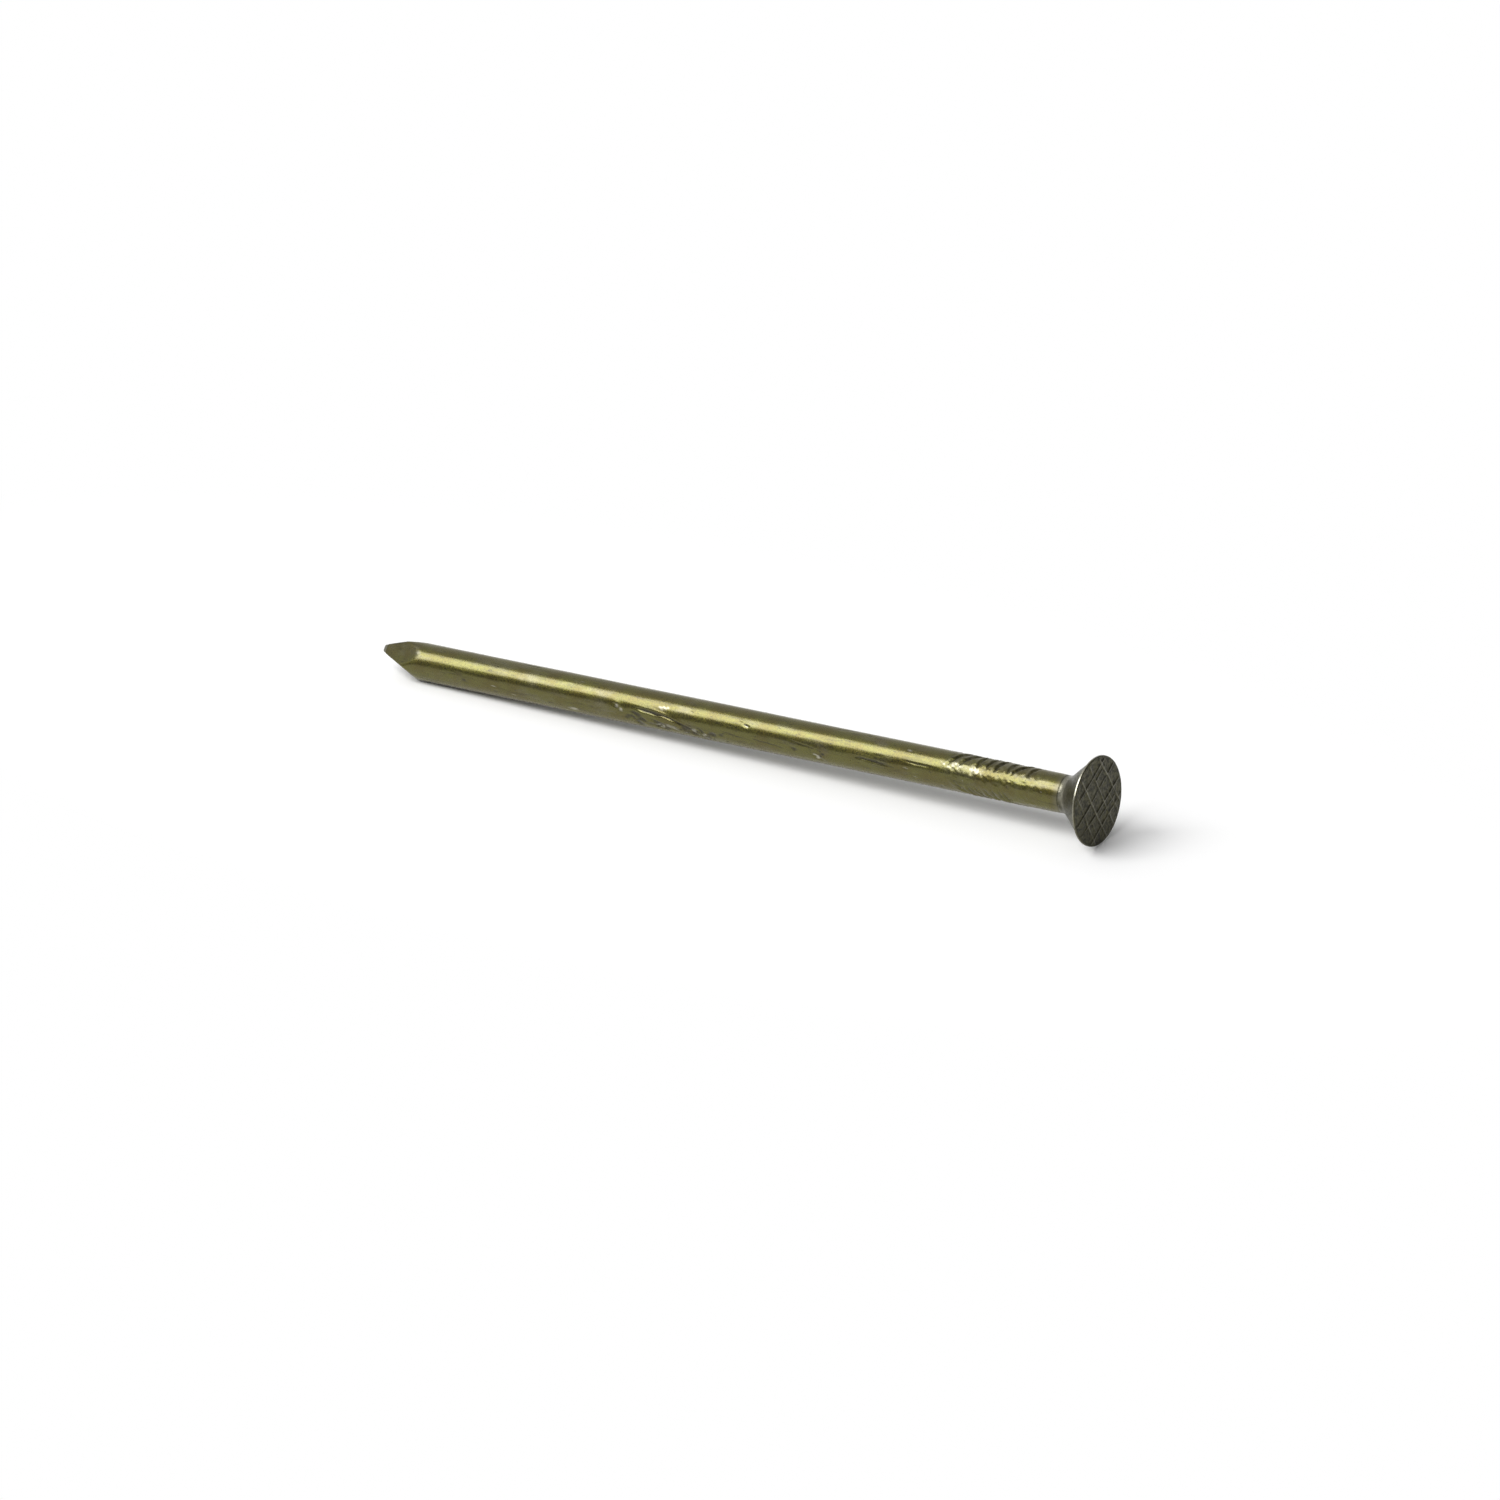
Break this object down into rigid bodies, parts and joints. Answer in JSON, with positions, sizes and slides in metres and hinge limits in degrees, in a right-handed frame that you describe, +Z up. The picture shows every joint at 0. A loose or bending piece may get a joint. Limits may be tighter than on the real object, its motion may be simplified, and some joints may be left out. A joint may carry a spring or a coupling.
{
  "type": "sinker nail",
  "caption": "Coated steel sinker nail with a checkered countersunk head, gripper-die marks under the head and a diamond point.",
  "frame": {"origin": "on the floor, under the middle of the nail's box as it lies on the rim of its head and the end of its shank", "axes": "+X toward the head end, +Z up, +Y level across the nail; the nail's own axis rises toward the head by 1.88 degrees"},
  "size_m": [0.0826, 0.009, 0.009],
  "materials": {
    "resin_coating": "thin translucent olive-gold resin over steel, satin gloss, scuffed",
    "bare_steel": "dark drawn and cold-headed steel, dull, with brighter worn edges"
  },
  "bodies": {
    "root": {"resin_coating": "resin_coating", "steel_nail": "bare_steel"}
  },
  "joints": []
}
